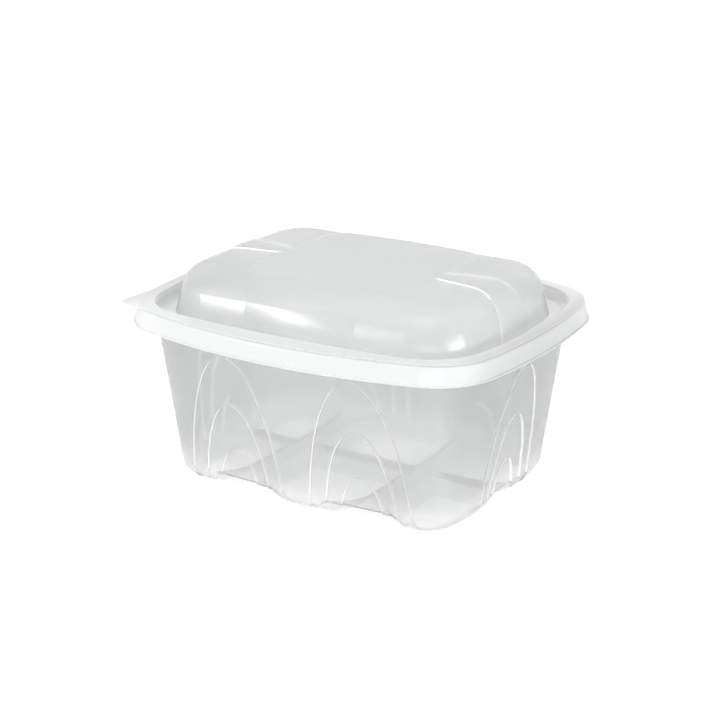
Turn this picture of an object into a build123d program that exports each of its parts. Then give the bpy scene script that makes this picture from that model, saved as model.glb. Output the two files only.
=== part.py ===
"""Food tray with a plug-in lid, each formed from one sheet of plastic.

Millimetres, +Z up. The origin is on the table, under the middle of the tray. The long sides
face -Y and +Y, the short sides face -X and +X, and the lid's pull tab is at the front left.
"""

import os
from math import atan2, degrees, radians, tan

from build123d import *

# How far a cut runs past the face that it opens
overrun = 2.0

# Degrees in a quarter turn
quarter_turn = 90.0

# Rim: the widest outline is the lower lip of the skirt
rim_length = 168.0
rim_width = 140.4
rim_long_radius = 228.0
rim_short_radius = 266.0
rim_corner = 27.0
flange_inset = 1.8
shoulder_round = 1.6
skirt_height = 7.5
lip_width = 0.6
lip_height = 0.7

# Tray: one sheet, with drafted walls that hang from the flange
sheet = 0.5
tray_height = 74.2
flange_end_width = 6.9
flange_side_width = 10.9
mouth_long_radius = 508.0
mouth_short_radius = 220.0
mouth_corner = 26.0
mouth_bend = 1.2
wall_draft = 8.0
base_round = 9.0

# Arch recesses: nested steps, from the outermost to the innermost
arch_offset = 29.0
arch_gap = 6.4
long_arch_half_width = 23.0
short_arch_half_width = 19.8
long_arch_sink_share = 0.2
short_arch_sink_share = 0.02
arch_height_shares = (1.0, 0.65, 0.325)
arch_width_shares = (1.0, 0.7, 0.43)
arch_depths = (0.8, 1.8, 2.8)

# Channels under the base, two across it and one along it, which part it into six feet
channel_height = 5.8
channel_slope = 45.0
across_half_width = 10.5
across_flare = 12.0
along_half_width = 8.0
along_flare = 6.0
foot_tuck = 6.0

# Lid: one thinner sheet that sits on the flange and plugs into the mouth
lid_sheet = 0.4
lid_seat_gap = 0.2
lid_clearance = 0.3
lid_edge_inset = 0.4
lid_bend = 0.9
plug_depth = 5.2

# Dome: a level middle with bowed long sides, between lower ends that are nearly straight
dome_rise = 15.6
dome_draft = 15.0
dome_round = 12.0
dome_corner = 22.0
dome_short_radius = 385.0
end_drop = 0.5
end_trough_width = 7.8
side_trough_width = 10.5
end_long_radius = 3600.0
middle_length = 98.0
middle_bulge = 1.2
middle_long_radius = 247.0

# Tongues: panels that carry the level of the middle out to each short end
tongue_proud = 0.4
tongue_draft = 5.0
tongue_tip = 34.0
tongue_tip_half_width = 4.4
tongue_end_half_width = 9.8
tongue_tip_round = 3.6
tongue_round = 15.0

# Pull tab, at the corner of the lid that faces front left
tab_reach = 6.2
tab_radius = 4.0
tab_angle = 216.0

# Places and sizes that follow from these
skirt_bottom = tray_height - skirt_height
skirt_angle = degrees(atan2(flange_inset - lip_width, skirt_height))
mouth_length = rim_length - 2 * flange_end_width
mouth_width = rim_width - 2 * flange_side_width
wall_run = tray_height * tan(radians(wall_draft))
arch_height = skirt_bottom - arch_gap
seat_z = tray_height + lid_seat_gap
trough_z = seat_z - plug_depth
lid_top = seat_z + dome_rise
plug_inset = sheet + lid_clearance
end_length = mouth_length - 2 * end_trough_width
end_width = mouth_width - 2 * side_trough_width
middle_width = end_width + 2 * middle_bulge
tongue_length = end_length + 2 * tongue_proud


def bowed_outline(plane, length, width, long_radius, short_radius, corner, inset=0):
    """A rounded rectangle whose sides bow outwards: what four wide discs have in common."""
    with BuildSketch(plane) as outline:
        with Locations((0, long_radius - width / 2)):
            Circle(long_radius - inset)
        with Locations((0, width / 2 - long_radius)):
            Circle(long_radius - inset, mode=Mode.INTERSECT)
        with Locations((short_radius - length / 2, 0)):
            Circle(short_radius - inset, mode=Mode.INTERSECT)
        with Locations((length / 2 - short_radius, 0)):
            Circle(short_radius - inset, mode=Mode.INTERSECT)
        fillet(outline.vertices(), corner - inset)
    return outline.sketch


def rim_outline(plane, inset=0):
    """The rim's outline, as wide as the lip when it isn't set in."""
    return bowed_outline(
        plane, rim_length, rim_width, rim_long_radius, rim_short_radius, rim_corner, inset
    )


def skirt_form(inset):
    """The rim as a block: flat top, rounded shoulder and flared sides."""
    foot_plane = Plane.XY.offset(skirt_bottom - inset)
    with BuildPart() as form:
        extrude(rim_outline(foot_plane, lip_width + inset), amount=skirt_height)
        draft(form.faces().filter_by(GeomType.CYLINDER), foot_plane, skirt_angle)
        fillet(form.edges().group_by(Axis.Z)[-1], shoulder_round - inset)
    return form.part


def drafted_form(top, side_inset, depth):
    """The mouth's outline carried down with the draft of the walls."""
    top_plane = Plane.XY.offset(top)
    with BuildPart() as form:
        mouth = bowed_outline(
            top_plane,
            mouth_length,
            mouth_width,
            mouth_long_radius,
            mouth_short_radius,
            mouth_corner,
            side_inset,
        )
        extrude(mouth, amount=-depth)
        draft(form.faces().filter_by(GeomType.CYLINDER), top_plane, -wall_draft)
    return form.part


def plain_form(side_inset, base_inset):
    """The body of the tray without its recesses."""
    with BuildPart() as form:
        add(drafted_form(tray_height, side_inset, tray_height - base_inset))
        fillet(form.edges().group_by(Axis.Z)[0], base_round - base_inset)
    return form.part


def arch_cut(level, inset, plane, places, half_width, sink_share):
    """What one step of the arches takes off a pair of opposite walls."""
    height = arch_height_shares[level] * arch_height
    sink = sink_share * height
    with BuildPart() as cut:
        with BuildSketch(plane):
            with Locations(*[(place, -sink) for place in places]):
                Ellipse(arch_width_shares[level] * half_width + inset, height + sink + inset)
        extrude(amount=rim_length, both=True)
        add(plain_form(inset + arch_depths[level], inset), mode=Mode.SUBTRACT)
    return cut.part


def channel(wall, half_width, flare, inset):
    """One channel along Y from wall to wall, with sloped sides and ends that flare to the feet."""
    side_inset = inset * tan(radians((quarter_turn - channel_slope) / 2))
    foot_x = half_width + flare
    foot_y = wall - foot_tuck - flare
    mouth_y = foot_y + rim_width / 2
    with BuildPart() as cut:
        with BuildSketch(Plane.XY.offset(inset - overrun)):
            Rectangle(2 * (half_width + side_inset), 2 * wall)
            with Locations((0, -mouth_y), (0, mouth_y)):
                Rectangle(2 * foot_x, rim_width)
            with GridLocations(2 * foot_x, 2 * foot_y, 2, 2):
                Circle(flare - side_inset, mode=Mode.SUBTRACT)
        extrude(amount=overrun + channel_height)
        sides = cut.faces().filter_by(Axis.Z, reverse=True)
        draft(sides, Plane.XY.offset(inset), channel_slope)
    return cut.part


def channels(inset):
    """The channels under the base, set in by the sheet for the inside."""
    with BuildPart() as cuts:
        across = channel(mouth_width / 2 - wall_run, across_half_width, across_flare, inset)
        along = channel(mouth_length / 2 - wall_run, along_half_width, along_flare, inset)
        with Locations((-arch_offset, 0), (arch_offset, 0)):
            add(across)
        add(along, rotation=(0, 0, quarter_turn))
    return cuts.part


def wall_form(inset):
    """The body of the tray with its arches and channels, set in by the sheet for the inside."""
    pair = (-arch_offset, arch_offset)
    with BuildPart() as form:
        add(plain_form(inset, inset))
        for level in range(len(arch_depths)):
            long_cut = arch_cut(
                level, inset, Plane.XZ, pair, long_arch_half_width, long_arch_sink_share
            )
            short_cut = arch_cut(
                level, inset, Plane.YZ, (0,), short_arch_half_width, short_arch_sink_share
            )
            add(long_cut, mode=Mode.SUBTRACT)
            add(short_cut, mode=Mode.SUBTRACT)
        add(channels(inset), mode=Mode.SUBTRACT)
    return form.part


def pillow(length, width, long_radius, top, side_draft, edge_round, inset):
    """A block of the dome with drafted sides, a level top and a rounded top edge."""
    foot_plane = Plane.XY.offset(trough_z)
    with BuildPart() as form:
        foot = bowed_outline(
            foot_plane, length, width, long_radius, dome_short_radius, dome_corner, inset
        )
        extrude(foot, amount=top - inset - trough_z)
        draft(form.faces().filter_by(GeomType.CYLINDER), foot_plane, side_draft)
        fillet(form.edges().group_by(Axis.Z)[-1], edge_round - inset)
    return form.part


def tongues(inset):
    """The two raised panels, cut from one block with steeper ends than the dome."""
    block = pillow(
        tongue_length, end_width, end_long_radius, lid_top, tongue_draft, tongue_round, inset
    )
    with BuildPart() as form:
        add(block)
        with BuildSketch():
            for side in (-1, 1):
                with BuildSketch(mode=Mode.PRIVATE) as wedge:
                    with BuildLine():
                        Polyline(
                            (side * (tongue_tip + inset), tongue_tip_half_width - inset),
                            (side * tongue_length / 2, tongue_end_half_width - inset),
                            (side * tongue_length / 2, inset - tongue_end_half_width),
                            (side * (tongue_tip + inset), inset - tongue_tip_half_width),
                            close=True,
                        )
                    make_face()
                    tip = wedge.vertices().sort_by(lambda corner: abs(corner.X))[:2]
                    fillet(tip, tongue_tip_round - inset)
                add(wedge.sketch)
        extrude(amount=lid_top, mode=Mode.INTERSECT)
    return form.part


def dome_form(inset):
    """The whole dome, set in by the sheet for its hollow."""
    middle = pillow(
        middle_length, middle_width, middle_long_radius, lid_top, dome_draft, dome_round, inset
    )
    ends = pillow(
        end_length, end_width, end_long_radius, lid_top - end_drop, dome_draft, dome_round, inset
    )
    with BuildPart() as form:
        add(middle)
        add(ends)
        add(tongues(inset))
    return form.part


def bend_rim(form, bend, thickness):
    """Bevels the upper and lower sides of a rim's bend into the mouth."""
    chamfer(form.faces().filter_by(Axis.Z).sort_by(Axis.Z)[-1].inner_wires()[0].edges(), bend)
    chamfer(
        form.faces().filter_by(Axis.Z).sort_by(Axis.Z)[-2].inner_wires()[0].edges(),
        bend - thickness,
    )


# Tray
with BuildPart() as tray:
    add(skirt_form(0))
    extrude(rim_outline(Plane.XY.offset(skirt_bottom)), amount=lip_height)
    add(skirt_form(sheet), mode=Mode.SUBTRACT)
    add(wall_form(0))
    add(wall_form(sheet), mode=Mode.SUBTRACT)
    bend_rim(tray, mouth_bend, sheet)

# Lid
with BuildPart() as lid:
    seat_plane = Plane.XY.offset(seat_z)
    with BuildSketch(seat_plane) as flange:
        add(rim_outline(Plane.XY, flange_inset + lid_edge_inset))
        corner = flange.edges().sort_by_distance((-rim_length / 2, -rim_width / 2))[0]
    with BuildSketch(seat_plane):
        with Locations(corner.arc_center):
            Circle(corner.radius)
            with PolarLocations(corner.radius + tab_reach - tab_radius, 1, tab_angle):
                Circle(tab_radius)
        make_hull()
    extrude(amount=lid_sheet)
    add(drafted_form(seat_z, plug_inset, plug_depth))
    add(
        drafted_form(seat_z + lid_sheet, plug_inset + lid_sheet, plug_depth),
        mode=Mode.SUBTRACT,
    )
    bend_rim(lid, lid_bend, lid_sheet)
    add(dome_form(0))
    add(dome_form(lid_sheet), mode=Mode.SUBTRACT)

os.makedirs("parts", exist_ok=True)
tray.part.label = "tray"
lid.part.label = "lid"
export_step(tray.part, "parts/tray.step")
export_step(lid.part, "parts/lid.step")
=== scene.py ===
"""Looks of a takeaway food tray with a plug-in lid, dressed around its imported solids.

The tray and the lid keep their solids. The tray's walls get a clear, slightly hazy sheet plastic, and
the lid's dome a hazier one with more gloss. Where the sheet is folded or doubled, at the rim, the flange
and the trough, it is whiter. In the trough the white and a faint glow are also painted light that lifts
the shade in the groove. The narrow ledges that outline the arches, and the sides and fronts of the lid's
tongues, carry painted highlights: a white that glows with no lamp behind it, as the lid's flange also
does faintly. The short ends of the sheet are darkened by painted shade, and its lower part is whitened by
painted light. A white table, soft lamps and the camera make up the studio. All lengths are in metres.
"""

import logging
import math
from abc import ABC, abstractmethod
from dataclasses import dataclass, replace
from enum import Enum

import bmesh
import bpy
from mathutils import Matrix, Vector

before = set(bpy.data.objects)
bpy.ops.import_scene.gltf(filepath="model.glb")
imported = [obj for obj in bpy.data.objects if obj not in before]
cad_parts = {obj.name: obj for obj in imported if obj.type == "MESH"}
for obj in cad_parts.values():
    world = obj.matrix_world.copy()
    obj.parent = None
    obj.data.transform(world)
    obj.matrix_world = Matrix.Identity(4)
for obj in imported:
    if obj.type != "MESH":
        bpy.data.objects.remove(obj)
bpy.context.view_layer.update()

LOG = logging.getLogger("food_tray")

Colour = tuple[float, float, float, float]
Feed = bpy.types.NodeSocket | float | Colour
WHITE: Colour = (1.0, 1.0, 1.0, 1.0)

# The places of the Mix node's sockets, whose names repeat for each kind of data.
NUMBER_A, NUMBER_B, NUMBER_RESULT = 2, 3, 0
COLOUR_A, COLOUR_B, COLOUR_RESULT = 6, 7, 2


class Slot(Enum):
    """The record's material slots."""

    TRAY = "tray_plastic"
    LID = "lid_plastic"


class Blend(Enum):
    """The ways in which one colour is laid over another."""

    COVER = "MIX"
    TINT = "MULTIPLY"


def feed(tree: bpy.types.NodeTree, value: Feed, socket: bpy.types.NodeSocket) -> None:
    """Links a socket to another one, or sets a constant on it.

    Args:
        tree: The node tree.
        value: The socket to link, or the constant.
        socket: The socket that takes it.
    """
    if isinstance(value, bpy.types.NodeSocket):
        tree.links.new(value, socket)
    else:
        socket.default_value = value


def calculate(
    tree: bpy.types.NodeTree, operation: str, first: Feed, second: Feed = 0.0
) -> bpy.types.NodeSocket:
    """Adds a Math node.

    Args:
        tree: The node tree.
        operation: The kind of sum, as the node names it.
        first: The first number.
        second: The second number, where the sum has one.

    Returns:
        The socket with the outcome.
    """
    node = tree.nodes.new("ShaderNodeMath")
    node.operation = operation
    feed(tree, first, node.inputs[0])
    feed(tree, second, node.inputs[1])
    return node.outputs[0]


def fade(tree: bpy.types.NodeTree, value: Feed, start: Feed, stop: Feed) -> bpy.types.NodeSocket:
    """Adds a smooth change from 0 to 1.

    Args:
        tree: The node tree.
        value: The number that the change follows.
        start: The number where the change starts.
        stop: The number where it is full.

    Returns:
        The socket with the share.
    """
    node = tree.nodes.new("ShaderNodeMapRange")
    node.interpolation_type = "SMOOTHSTEP"
    feed(tree, value, node.inputs["Value"])
    feed(tree, start, node.inputs["From Min"])
    feed(tree, stop, node.inputs["From Max"])
    return node.outputs["Result"]


def lay_over(
    tree: bpy.types.NodeTree, share: Feed, under: Feed, over: Feed, blend: Blend = Blend.COVER
) -> bpy.types.NodeSocket:
    """Adds a mix of two colours.

    Args:
        tree: The node tree.
        share: How much of the upper colour shows.
        under: The lower colour.
        over: The upper colour.
        blend: How the upper colour is laid on.

    Returns:
        The socket with the mixed colour.
    """
    node = tree.nodes.new("ShaderNodeMix")
    node.data_type = "RGBA"
    node.blend_type = blend.value
    feed(tree, share, node.inputs["Factor"])
    feed(tree, under, node.inputs[COLOUR_A])
    feed(tree, over, node.inputs[COLOUR_B])
    return node.outputs[COLOUR_RESULT]


@dataclass(frozen=True)
class CloudySheet:
    """The look that all finishes share: cloudy patches, painted shade at the ends, painted light at the
    foot and forming waves.

    Args:
        patch_detail: How many finer layers the patches have.
        patch_roughness: How strong the finer layers of the patches are.
        wave_detail: How many finer layers the waves have.
        wave_roughness: How strong the finer layers of the waves are.
        takes: The group's inputs and their kinds.
        gives: The group's outputs and their kinds.
    """

    patch_detail: float = 3.0
    patch_roughness: float = 0.55
    wave_detail: float = 1.0
    wave_roughness: float = 0.5
    takes: tuple[tuple[str, str], ...] = (
        ("Place", "NodeSocketVector"),
        ("Size", "NodeSocketFloat"),
        ("Pale", "NodeSocketColor"),
        ("Milky", "NodeSocketColor"),
        ("Polish", "NodeSocketFloat"),
        ("Satin", "NodeSocketFloat"),
        # Foot and Floor bound the painted light at the foot; Ends, Ends Start and Ends Stop give the
        # painted shade at the short ends.
        ("Foot", "NodeSocketFloat"),
        ("Floor", "NodeSocketFloat"),
        ("Ends", "NodeSocketColor"),
        ("Ends Start", "NodeSocketFloat"),
        ("Ends Stop", "NodeSocketFloat"),
    )
    gives: tuple[tuple[str, str], ...] = (
        ("Colour", "NodeSocketColor"),
        ("Roughness", "NodeSocketFloat"),
        ("Waves", "NodeSocketFloat"),
    )

    def noise(
        self, group: bpy.types.NodeTree, given: bpy.types.Node, detail: float, roughness: float
    ) -> bpy.types.NodeSocket:
        """Adds soft noise of the sheet's cloud size.

        Args:
            group: The node group.
            given: The group's input node.
            detail: How many finer layers the noise has.
            roughness: How strong the finer layers are.

        Returns:
            The socket with the noise, from 0 to 1.
        """
        node = group.nodes.new("ShaderNodeTexNoise")
        node.inputs["Detail"].default_value = detail
        node.inputs["Roughness"].default_value = roughness
        feed(group, given.outputs["Place"], node.inputs["Vector"])
        feed(group, calculate(group, "DIVIDE", 1.0, given.outputs["Size"]), node.inputs["Scale"])
        return node.outputs["Fac"]

    def colour(
        self, group: bpy.types.NodeTree, given: bpy.types.Node, patches: bpy.types.NodeSocket
    ) -> bpy.types.NodeSocket:
        """Adds the sheet's colour.

        Args:
            group: The node group.
            given: The group's input node.
            patches: The socket with the cloudy patches.

        Returns:
            The socket with the colour: clouded, darkened at the ends by painted shade and whitened at the
                foot by painted light.
        """
        parts = group.nodes.new("ShaderNodeSeparateXYZ")
        feed(group, given.outputs["Place"], parts.inputs["Vector"])
        clouded = lay_over(group, patches, given.outputs["Pale"], given.outputs["Milky"])
        # Painted shade: the colour is darkened towards both short ends.
        along = calculate(group, "ABSOLUTE", parts.outputs["X"])
        painted_end_shade = fade(group, along, given.outputs["Ends Start"], given.outputs["Ends Stop"])
        tinted = lay_over(group, painted_end_shade, clouded, given.outputs["Ends"], Blend.TINT)
        # Painted light: the colour is whitened towards the foot.
        painted_foot_light = fade(group, parts.outputs["Z"], given.outputs["Foot"], given.outputs["Floor"])
        return lay_over(group, painted_foot_light, tinted, WHITE)

    def build(self) -> bpy.types.NodeTree:
        """Builds the node group.

        Returns:
            The group, to be placed in each material with its own values.
        """
        group = bpy.data.node_groups.new("cloudy_sheet", "ShaderNodeTree")
        for name, kind in self.takes:
            group.interface.new_socket(name, in_out="INPUT", socket_type=kind)
        for name, kind in self.gives:
            group.interface.new_socket(name, in_out="OUTPUT", socket_type=kind)
        given = group.nodes.new("NodeGroupInput")
        made = group.nodes.new("NodeGroupOutput")
        patches = self.noise(group, given, self.patch_detail, self.patch_roughness)
        waves = self.noise(group, given, self.wave_detail, self.wave_roughness)
        dullness = group.nodes.new("ShaderNodeMix")
        dullness.data_type = "FLOAT"
        feed(group, patches, dullness.inputs["Factor"])
        feed(group, given.outputs["Polish"], dullness.inputs[NUMBER_A])
        feed(group, given.outputs["Satin"], dullness.inputs[NUMBER_B])
        feed(group, self.colour(group, given, patches), made.inputs["Colour"])
        feed(group, dullness.outputs[NUMBER_RESULT], made.inputs["Roughness"])
        feed(group, waves, made.inputs["Waves"])
        return group


@dataclass(frozen=True)
class Bow:
    """A slight bulge in the polished skin of a slope.

    Args:
        height: How far the skin bulges.
        middle: The height of the slope's middle, where the bulge is fullest.
        reach: How far the bulge goes on below the middle.
    """

    height: float
    middle: float
    reach: float

    def shape(
        self, tree: bpy.types.NodeTree, place: bpy.types.NodeSocket, skin: bpy.types.NodeSocket
    ) -> None:
        """Bends the normal of a skin by the bulge.

        Args:
            tree: The material's node tree.
            place: The socket with the object's coordinates.
            skin: The socket of the skin's normal.
        """
        parts = tree.nodes.new("ShaderNodeSeparateXYZ")
        feed(tree, place, parts.inputs["Vector"])
        rise = calculate(tree, "SUBTRACT", parts.outputs["Z"], self.middle)
        near = calculate(tree, "MAXIMUM", rise, -self.reach)
        share = calculate(tree, "DIVIDE", near, self.reach)
        square = calculate(tree, "POWER", share, 2.0)
        bulge = tree.nodes.new("ShaderNodeBump")
        bulge.inputs["Distance"].default_value = self.height
        feed(tree, calculate(tree, "MULTIPLY", square, -1.0), bulge.inputs["Height"])
        feed(tree, bulge.outputs["Normal"], skin)


@dataclass(frozen=True)
class SheetFinish:
    """A translucent thermoformed sheet.

    Args:
        name: The material's name.
        pale: The colour where the sheet is thin and clear.
        milky: The colour where the sheet is thicker and milkier.
        clearness: The share of light that passes through.
        gloss: The weight of the polished skin.
        skin: The roughness of the polished skin.
        polish: The roughness of what passes through where the sheet is polished.
        satin: The roughness of what passes through where the sheet is dull.
        bending: The index of refraction, which is low because the sheet is thin.
        cloud_size: The size of the cloudy patches.
        ripple: The height of the faint waves that forming leaves.
        foot: The height under which the sheet is painted whiter, as painted light.
        floor: The height under which it is painted fully white.
        ends: The colour of the painted shade that darkens the sheet at the two short ends.
        ends_start: How far from the middle, along the object, the painted shade starts.
        ends_stop: How far from the middle the painted shade is full.
        glow: The strength of a painted highlight: white light that the sheet gives off at its folds, with
            no lamp.
        bow: The bulge of the polished skin, if it has one.
    """

    name: str
    pale: Colour
    milky: Colour
    clearness: float
    gloss: float
    skin: float
    polish: float
    satin: float
    bending: float = 1.08
    cloud_size: float = 0.03
    ripple: float = 0.0001
    foot: float = 0.0001
    floor: float = 0.0
    ends: Colour = WHITE
    ends_start: float = 0.0690
    ends_stop: float = 0.0835
    glow: float = 0.0
    bow: Bow | None = None

    def make(self, clouds: bpy.types.NodeTree) -> bpy.types.Material:
        """Builds the material.

        Args:
            clouds: The shared group that gives the cloudy patches.

        Returns:
            The finished material.
        """
        material = bpy.data.materials.new(self.name)
        material.use_nodes = True
        tree = material.node_tree
        shader = tree.nodes["Principled BSDF"]
        shader.inputs["Transmission Weight"].default_value = self.clearness
        shader.inputs["IOR"].default_value = self.bending
        shader.inputs["Metallic"].default_value = 0.0
        shader.inputs["Coat Weight"].default_value = self.gloss
        shader.inputs["Coat Roughness"].default_value = self.skin
        # Painted highlight: the emission makes the sheet glow white with no lamp.
        shader.inputs["Emission Color"].default_value = WHITE
        shader.inputs["Emission Strength"].default_value = self.glow

        place = tree.nodes.new("ShaderNodeTexCoord").outputs["Object"]
        sheet = tree.nodes.new("ShaderNodeGroup")
        sheet.node_tree = clouds
        for name, value in (
            ("Place", place),
            ("Size", self.cloud_size),
            ("Pale", self.pale),
            ("Milky", self.milky),
            ("Polish", self.polish),
            ("Satin", self.satin),
            ("Foot", self.foot),
            ("Floor", self.floor),
            ("Ends", self.ends),
            ("Ends Start", self.ends_start),
            ("Ends Stop", self.ends_stop),
        ):
            feed(tree, value, sheet.inputs[name])
        feed(tree, sheet.outputs["Colour"], shader.inputs["Base Color"])
        feed(tree, sheet.outputs["Roughness"], shader.inputs["Roughness"])

        ripples = tree.nodes.new("ShaderNodeBump")
        ripples.inputs["Distance"].default_value = self.ripple
        feed(tree, sheet.outputs["Waves"], ripples.inputs["Height"])
        feed(tree, ripples.outputs["Normal"], shader.inputs["Normal"])
        if self.bow:
            self.bow.shape(tree, place, shader.inputs["Coat Normal"])
        return material


TRAY_SHEET = SheetFinish(
    name="tray_sheet",
    pale=(0.83, 0.835, 0.835, 1.0),
    milky=(0.76, 0.765, 0.765, 1.0),
    clearness=0.80,
    gloss=0.25,
    skin=0.10,
    polish=0.10,
    satin=0.30,
    # Painted light whitens the walls towards the foot; painted shade darkens the short ends.
    foot=0.017,
    ends=(0.86, 0.86, 0.86, 1.0),
    ends_start=0.0620,
    ends_stop=0.0740,
)
RIM_SHEET = SheetFinish(
    name="rim_sheet",
    pale=(0.97, 0.97, 0.97, 1.0),
    milky=(0.94, 0.945, 0.945, 1.0),
    clearness=0.25,
    gloss=0.3,
    skin=0.14,
    polish=0.25,
    satin=0.40,
    # Painted shade: the rim is darker at the short ends.
    ends=(0.80, 0.80, 0.80, 1.0),
    ends_start=0.0740,
)
# Painted highlight: the ledges are white and glow, so they look lit under any lamp.
ARCH_SHEET = SheetFinish(
    name="arch_sheet",
    pale=WHITE,
    milky=(0.97, 0.97, 0.97, 1.0),
    clearness=0.5,
    gloss=1.0,
    skin=0.2,
    polish=0.25,
    satin=0.40,
    glow=0.18,
)
LID_SHEET = SheetFinish(
    name="lid_sheet",
    pale=(0.87, 0.875, 0.875, 1.0),
    milky=(0.83, 0.835, 0.835, 1.0),
    clearness=0.72,
    gloss=0.9,
    skin=0.21,
    polish=0.30,
    satin=0.45,
    # Painted light: the dome is whiter towards its foot.
    foot=0.0780,
    floor=0.0660,
    bow=Bow(height=0.00018, middle=0.0765, reach=0.0035),
)
# Painted light: the trough is whiter and glows faintly, lifting the shade in the groove; part of its
# white is the real fold.
TROUGH_SHEET = SheetFinish(
    name="trough_sheet",
    pale=(0.97, 0.97, 0.97, 1.0),
    milky=(0.93, 0.935, 0.935, 1.0),
    clearness=0.62,
    gloss=0.6,
    skin=0.2,
    polish=0.30,
    satin=0.45,
    glow=0.05,
)
FLANGE_SHEET = SheetFinish(
    name="flange_sheet",
    pale=WHITE,
    milky=(0.97, 0.97, 0.97, 1.0),
    clearness=0.35,
    gloss=0.5,
    skin=0.16,
    polish=0.30,
    satin=0.45,
    # Painted shade at the short ends, and a faint painted glow.
    ends=(0.80, 0.80, 0.80, 1.0),
    glow=0.02,
)
# Painted highlight: the tongues' sides are whitened and glow faintly.
TONGUE_SHEET = SheetFinish(
    name="tongue_sheet",
    pale=(0.96, 0.96, 0.96, 1.0),
    milky=(0.92, 0.925, 0.925, 1.0),
    clearness=0.5,
    gloss=1.0,
    skin=0.2,
    polish=0.30,
    satin=0.45,
    glow=0.08,
)
# Painted highlight: the tongues' fronts are white and glow more strongly.
GLEAM_SHEET = replace(
    TONGUE_SHEET, name="gleam_sheet", pale=WHITE, milky=(0.97, 0.97, 0.97, 1.0), glow=0.35
)


class Zone(ABC):
    """A group of a node's faces that has a finish of its own."""

    @abstractmethod
    def holds(self, face: bpy.types.MeshPolygon) -> bool:
        """Tells whether a face lies in the zone.

        Args:
            face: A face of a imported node.

        Returns:
            True where the face takes the zone's finish.
        """


@dataclass(frozen=True)
class RingZone(Zone):
    """A ring of faces outside a rounded outline, such as the lid's flange or its trough.

    Args:
        half_length: Half the length of the ring's inner outline.
        half_width: Half the width of the ring's inner outline.
        bottom: The lowest height of the ring.
        top: The greatest height of the ring.
        squareness: The power that rounds the outline's corners.
    """

    half_length: float
    half_width: float
    bottom: float
    top: float
    squareness: float = 5.0

    def holds(self, face: bpy.types.MeshPolygon) -> bool:
        """Tells whether a face lies in the ring.

        Args:
            face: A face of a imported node.

        Returns:
            True outside the inner outline and between the two heights.
        """
        along = abs(face.center.x) / self.half_length
        across = abs(face.center.y) / self.half_width
        outside = along**self.squareness + across**self.squareness > 1.0
        return outside and self.bottom < face.center.z < self.top


@dataclass(frozen=True)
class RimZone(RingZone):
    """The rim of the tray: the skirt outside an outline, and the flange above a level.

    Args:
        flange: The height above which every face belongs to the rim.
    """

    flange: float = 0.0724

    def holds(self, face: bpy.types.MeshPolygon) -> bool:
        """Tells whether a face lies on the rim.

        Args:
            face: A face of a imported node.

        Returns:
            True on the flange, the skirt and the lip.
        """
        return face.center.z > self.flange or super().holds(face)


@dataclass(frozen=True)
class ArchZone(Zone):
    """The narrow ledges that outline the arches in the walls.

    Args:
        bottom: The height where the ledges start, above the feet.
        top: The height where they end, under the rim.
        long_wall: How far from the middle the ledges of the long walls are, at least.
        long_reach: How far along the long walls they reach.
        short_wall: How far from the middle the ledges of the short walls are, at least.
        short_reach: How far along the short walls they reach.
        lean: The largest share of a ledge's normal that points out of its wall.
    """

    bottom: float = 0.0070
    top: float = 0.0660
    long_wall: float = 0.0350
    long_reach: float = 0.0545
    short_wall: float = 0.0500
    short_reach: float = 0.0215
    lean: float = 0.03

    def holds(self, face: bpy.types.MeshPolygon) -> bool:
        """Tells whether a face is a ledge.

        Args:
            face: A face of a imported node.

        Returns:
            True on the ledges of the long and the short walls.
        """
        along, across = abs(face.center.x), abs(face.center.y)
        if not self.bottom < face.center.z < self.top:
            return False
        if across > self.long_wall and along < self.long_reach:
            return abs(face.normal.y) < self.lean
        return along > self.short_wall and across < self.short_reach and abs(face.normal.x) < self.lean


@dataclass(frozen=True)
class TongueZone(Zone):
    """The sides of the tongues that run down the ends of the lid.

    Args:
        bottom: The lowest height of the sides.
        top: The greatest height of the sides.
        start: Where the tongues start along the lid, from its middle.
        half_width: Half the width that the tongues' sides lie within.
        facing: The least share of a side's normal that points across the lid.
    """

    bottom: float
    top: float
    start: float = 0.0300
    half_width: float = 0.0110
    facing: float = 0.8

    def holds(self, face: bpy.types.MeshPolygon) -> bool:
        """Tells whether a face is the side of a tongue.

        Args:
            face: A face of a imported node.

        Returns:
            True on the steep sides of both tongues, between the two heights.
        """
        near = abs(face.center.y) < self.half_width and abs(face.center.x) > self.start
        return near and self.bottom < face.center.z < self.top and abs(face.normal.y) > self.facing


RIM = RimZone(half_length=0.0775, half_width=0.0605, bottom=0.0665, top=0.0900)
ARCHES = ArchZone()
FLANGE = RingZone(half_length=0.0765, half_width=0.0590, bottom=0.0665, top=0.0900)
TROUGH = RingZone(half_length=0.0696, half_width=0.0507, bottom=0.0600, top=0.0741)
TONGUE_FRONTS = TongueZone(bottom=0.0868, top=0.0910)
TONGUE_SIDES = TongueZone(bottom=0.0700, top=0.0868)


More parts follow.
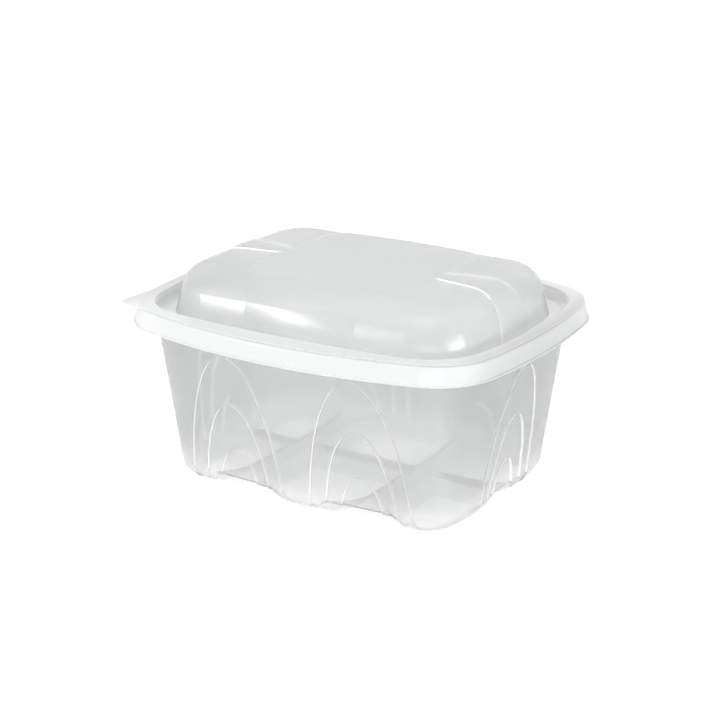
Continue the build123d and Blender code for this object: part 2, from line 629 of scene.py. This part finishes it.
@dataclass(frozen=True)
class Shell:
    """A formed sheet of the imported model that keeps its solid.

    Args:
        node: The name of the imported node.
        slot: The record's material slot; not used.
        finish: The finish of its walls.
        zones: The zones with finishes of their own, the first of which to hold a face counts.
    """

    node: str
    slot: Slot
    finish: SheetFinish
    zones: tuple[tuple[Zone, SheetFinish], ...]

    def zone_index(self, face: bpy.types.MeshPolygon) -> int:
        """Works out which of the shell's materials a face takes.

        Args:
            face: A face of the node.

        Returns:
            The material's place in the list: 0 for the walls, then the zones in order.
        """
        for place, (zone, _) in enumerate(self.zones, start=1):
            if zone.holds(face):
                return place
        return 0

    def dress(self, clouds: bpy.types.NodeTree) -> bpy.types.Object:
        """Gives the node its materials.

        Args:
            clouds: The shared group of cloudy patches.

        Returns:
            The node's object.
        """
        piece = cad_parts[self.node]
        piece.data.materials.clear()
        for finish in (self.finish, *(finish for _, finish in self.zones)):
            piece.data.materials.append(finish.make(clouds))
        for face in piece.data.polygons:
            face.material_index = self.zone_index(face)
        return piece


TRAY = Shell("tray", Slot.TRAY, TRAY_SHEET, ((RIM, RIM_SHEET), (ARCHES, ARCH_SHEET)))
LID = Shell(
    "lid",
    Slot.LID,
    LID_SHEET,
    (
        (FLANGE, FLANGE_SHEET),
        (TROUGH, TROUGH_SHEET),
        (TONGUE_FRONTS, GLEAM_SHEET),
        (TONGUE_SIDES, TONGUE_SHEET),
    ),
)


@dataclass(frozen=True)
class Lamp:
    """A soft rectangular lamp that faces the object.

    Args:
        name: The lamp's name.
        azimuth: Its turn from the front, towards the right, in degrees.
        elevation: Its height, in degrees.
        width: Its width.
        height: Its height.
        power: Its power in watts.
        roll: Its turn around the line to the object, in degrees.
        distance: How far it is from the object.
    """

    name: str
    azimuth: float
    elevation: float
    width: float
    height: float
    power: float
    roll: float = 0.0
    distance: float = 1.2


LAMPS = (
    Lamp("key_lamp", azimuth=-36.0, elevation=16.5, width=0.36, height=0.13, power=2.6, roll=-45.0),
    Lamp("strip_lamp", azimuth=-44.0, elevation=40.0, width=0.08, height=0.50, power=0.5),
    Lamp("corner_lamp", azimuth=88.0, elevation=6.5, width=0.80, height=0.26, power=4.2),
    Lamp("rim_lamp", azimuth=25.0, elevation=2.5, width=0.70, height=0.08, power=1.5),
    Lamp("top_lamp", azimuth=0.0, elevation=80.0, width=0.90, height=0.90, power=2.8),
)


@dataclass(frozen=True)
class Studio:
    """A white table, soft lamps, a white surround and the camera.

    Args:
        azimuth: The camera's turn from the front, towards the right, in degrees.
        elevation: The camera's height above the table's level, in degrees.
        distance: How far the camera is from the point that it looks at.
        aim: The point that the camera looks at.
        lens: The focal length in millimetres, on the sensor width below.
        sensor: The sensor's width in millimetres.
        nearest: The distance from which the camera sees.
        table_size: The width of the table.
        table_colour: The colour with which the table lights the object from below.
        table_shade: The part of the table's white that a shadow can darken.
        table_glow: The part of the table's white that no shadow darkens.
        sky_colour: The colour of the surround as light.
        sky_strength: The strength of the surround as light.
        lamps: The lamps.
    """

    azimuth: float = 31.87
    elevation: float = 18.78
    distance: float = 0.7491
    aim: tuple[float, float, float] = (-0.0082, 0.0117, 0.0435)
    lens: float = 90.0
    sensor: float = 36.0
    nearest: float = 0.01
    table_size: float = 6.0
    table_colour: Colour = (0.8, 0.8, 0.8, 1.0)
    table_shade: Colour = (0.40, 0.40, 0.40, 1.0)
    table_glow: float = 0.75
    sky_colour: Colour = (0.98, 0.99, 1.0, 1.0)
    sky_strength: float = 0.74
    lamps: tuple[Lamp, ...] = LAMPS

    def axes(self, azimuth: float, elevation: float) -> Matrix:
        """Works out a turn whose Z axis points from the object towards a place around it.

        Args:
            azimuth: The place's turn from the front, in degrees.
            elevation: The place's height, in degrees.

        Returns:
            A 3 by 3 matrix with right, up and back as its columns.
        """
        turn, tilt = math.radians(azimuth), math.radians(elevation)
        back = Vector((math.sin(turn) * math.cos(tilt), -math.cos(turn) * math.cos(tilt), math.sin(tilt)))
        right = Vector((math.cos(turn), math.sin(turn), 0.0))
        up = back.cross(right)
        return Matrix((right, up, back)).transposed()

    def place(
        self, item: bpy.types.Object, azimuth: float, elevation: float, distance: float, roll: float = 0.0
    ) -> None:
        """Puts a camera or a lamp around the object, facing the point that the camera looks at.

        Args:
            item: The camera or lamp.
            azimuth: Its turn from the front, in degrees.
            elevation: Its height, in degrees.
            distance: How far it is from that point.
            roll: Its turn around the line to that point, in degrees.
        """
        axes = self.axes(azimuth, elevation)
        spot = Matrix.Translation(Vector(self.aim) + axes.col[2] * distance)
        item.matrix_world = spot @ axes.to_4x4() @ Matrix.Rotation(math.radians(roll), 4, "Z")
        bpy.context.scene.collection.objects.link(item)

    def camera(self) -> None:
        """Makes the scene's camera."""
        data = bpy.data.cameras.new("camera")
        data.lens = self.lens
        data.sensor_width = self.sensor
        data.clip_start = self.nearest
        item = bpy.data.objects.new("camera", data)
        self.place(item, self.azimuth, self.elevation, self.distance)
        bpy.context.scene.camera = item

    def light(self, lamp: Lamp) -> None:
        """Makes one lamp.

        Args:
            lamp: What the lamp is like and where it is.
        """
        data = bpy.data.lights.new(lamp.name, "AREA")
        data.shape = "RECTANGLE"
        data.size = lamp.width
        data.size_y = lamp.height
        data.energy = lamp.power
        item = bpy.data.objects.new(lamp.name, data)
        self.place(item, lamp.azimuth, lamp.elevation, lamp.distance, lamp.roll)

    def seen(self, tree: bpy.types.NodeTree) -> bpy.types.NodeSocket:
        """Adds nodes that tell rays that show the surround from rays that light the object.

        Args:
            tree: The node tree of the table or the world.

        Returns:
            A socket that is 1 on camera, glossy and transmission rays.
        """
        rays = tree.nodes.new("ShaderNodeLightPath").outputs
        direct = calculate(tree, "MAXIMUM", rays["Is Camera Ray"], rays["Is Glossy Ray"])
        return calculate(tree, "MAXIMUM", direct, rays["Is Transmission Ray"])

    def choose(
        self, tree: bpy.types.NodeTree, lighting: bpy.types.Node, showing: bpy.types.Node, output: str
    ) -> None:
        """Gives a surface one shader for the rays that light the object and one for those that show it.

        Args:
            tree: The node tree of the table or the world.
            lighting: The shader that lights the object.
            showing: The shader that the camera sees, also in reflections and through the sheet.
            output: The name of the tree's output node.
        """
        choice = tree.nodes.new("ShaderNodeMixShader")
        feed(tree, self.seen(tree), choice.inputs[0])
        feed(tree, lighting.outputs[0], choice.inputs[1])
        feed(tree, showing.outputs[0], choice.inputs[2])
        feed(tree, choice.outputs[0], tree.nodes[output].inputs["Surface"])

    def table_white(self) -> bpy.types.Material:
        """Makes the table's material.

        Returns:
            A plain white that the camera sees as bright as the surround, apart from shadows.
        """
        material = bpy.data.materials.new("table_white")
        material.use_nodes = True
        tree = material.node_tree
        plain = tree.nodes["Principled BSDF"]
        plain.inputs["Base Color"].default_value = self.table_colour
        plain.inputs["Roughness"].default_value = 1.0
        plain.inputs["Specular IOR Level"].default_value = 0.0
        shade = tree.nodes.new("ShaderNodeBsdfDiffuse")
        shade.inputs["Color"].default_value = self.table_shade
        glow = tree.nodes.new("ShaderNodeEmission")
        glow.inputs["Strength"].default_value = self.table_glow
        both = tree.nodes.new("ShaderNodeAddShader")
        feed(tree, shade.outputs[0], both.inputs[0])
        feed(tree, glow.outputs[0], both.inputs[1])
        self.choose(tree, plain, both, "Material Output")
        return material

    def table(self) -> None:
        """Makes the table, which looks white and keeps the object's shadow."""
        shape = bmesh.new()
        bmesh.ops.create_grid(shape, x_segments=1, y_segments=1, size=self.table_size / 2)
        mesh = bpy.data.meshes.new("table")
        shape.to_mesh(mesh)
        shape.free()
        mesh.materials.append(self.table_white())
        item = bpy.data.objects.new("table", mesh)
        bpy.context.scene.collection.objects.link(item)

    def surround(self) -> None:
        """Makes the world: white to look at, and a softer grey as light."""
        world = bpy.data.worlds.new("surround")
        bpy.context.scene.world = world
        world.use_nodes = True
        tree = world.node_tree
        light = tree.nodes["Background"]
        light.inputs["Color"].default_value = self.sky_colour
        light.inputs["Strength"].default_value = self.sky_strength
        white = tree.nodes.new("ShaderNodeBackground")
        white.inputs["Color"].default_value = WHITE
        white.inputs["Strength"].default_value = 1.0
        self.choose(tree, light, white, "World Output")

    def build(self) -> None:
        """Makes the whole studio."""
        self.camera()
        self.table()
        self.surround()
        for lamp in self.lamps:
            self.light(lamp)
        bpy.context.scene.view_settings.view_transform = "Standard"


def main() -> None:
    """Dresses the tray and the lid and builds the studio around them."""
    logging.basicConfig(level=logging.INFO)
    clouds = CloudySheet().build()
    for shell in (TRAY, LID):
        LOG.info("dressed %s", shell.dress(clouds).name)
    Studio().build()


if __name__ == "__main__":
    main()
